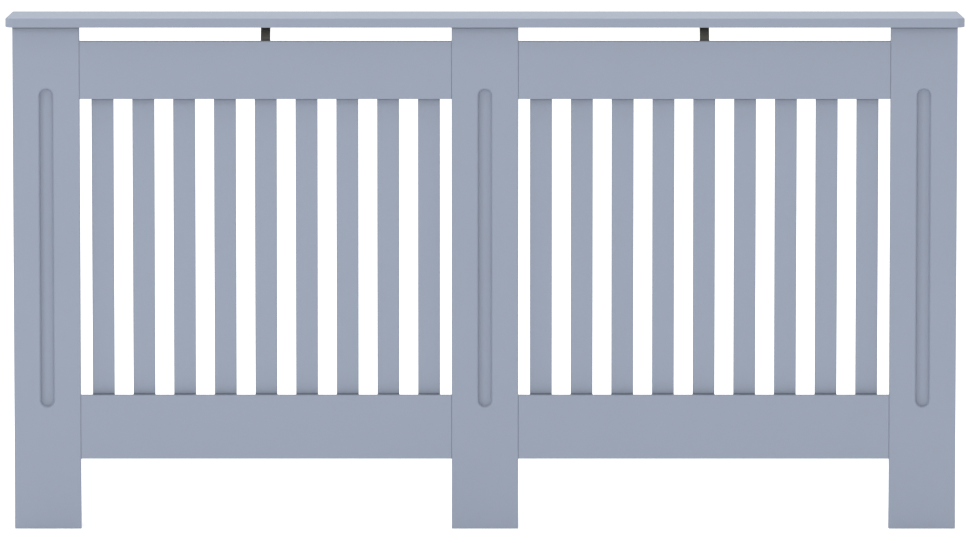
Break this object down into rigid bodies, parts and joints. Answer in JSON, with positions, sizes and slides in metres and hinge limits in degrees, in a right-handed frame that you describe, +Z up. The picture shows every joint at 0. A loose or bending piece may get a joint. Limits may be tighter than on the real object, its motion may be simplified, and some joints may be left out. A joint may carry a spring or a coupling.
{
  "type": "radiator cover cabinet",
  "caption": "Slatted radiator cover cabinet: shelf top on fluted posts, slat bays between rails, side panels notched for the skirting board, open at the back and floor.",
  "frame": {"origin": "on the floor, at the middle of the top board's width and depth", "axes": "+X to the right as seen from the room, +Y to the wall, +Z up"},
  "size_m": [1.52, 0.19, 0.815],
  "materials": {
    "painted_board": "satin blue-grey paint on fibreboard",
    "black_steel": "black powder coat on bent flat steel",
    "zinc_steel": "bright zinc plating",
    "zinc_alloy": "bare die-cast zinc",
    "beech": "bare pressed or turned beech"
  },
  "bodies": {
    "root": {"top_board": "painted_board", "post_left": "painted_board", "post_centre": "painted_board", "post_right": "painted_board", "bottom_rail_left": "painted_board", "bottom_rail_right": "painted_board", "top_rail_left": "painted_board", "top_rail_right": "painted_board", "slat_left_1": "painted_board", "slat_left_2": "painted_board", "slat_left_3": "painted_board", "slat_left_4": "painted_board", "slat_left_5": "painted_board", "slat_left_6": "painted_board", "slat_left_7": "painted_board", "slat_left_8": "painted_board", "slat_left_9": "painted_board", "slat_right_1": "painted_board", "slat_right_2": "painted_board", "slat_right_3": "painted_board", "slat_right_4": "painted_board", "slat_right_5": "painted_board", "slat_right_6": "painted_board", "slat_right_7": "painted_board", "slat_right_8": "painted_board", "slat_right_9": "painted_board", "side_panel_left": "painted_board", "side_panel_right": "painted_board", "rail_biscuits": "beech", "top_dowel_left": "beech", "top_dowel_right": "beech", "cam_bolts_left": "zinc_steel", "cam_bolts_right": "zinc_steel", "cam_locks_left": "zinc_alloy", "cam_locks_right": "zinc_alloy", "top_strap_left": "black_steel", "top_strap_right": "black_steel", "wall_bracket_left": "zinc_steel", "wall_bracket_right": "zinc_steel", "strap_screws": "zinc_steel", "bracket_screws": "zinc_steel"}
  },
  "joints": []
}
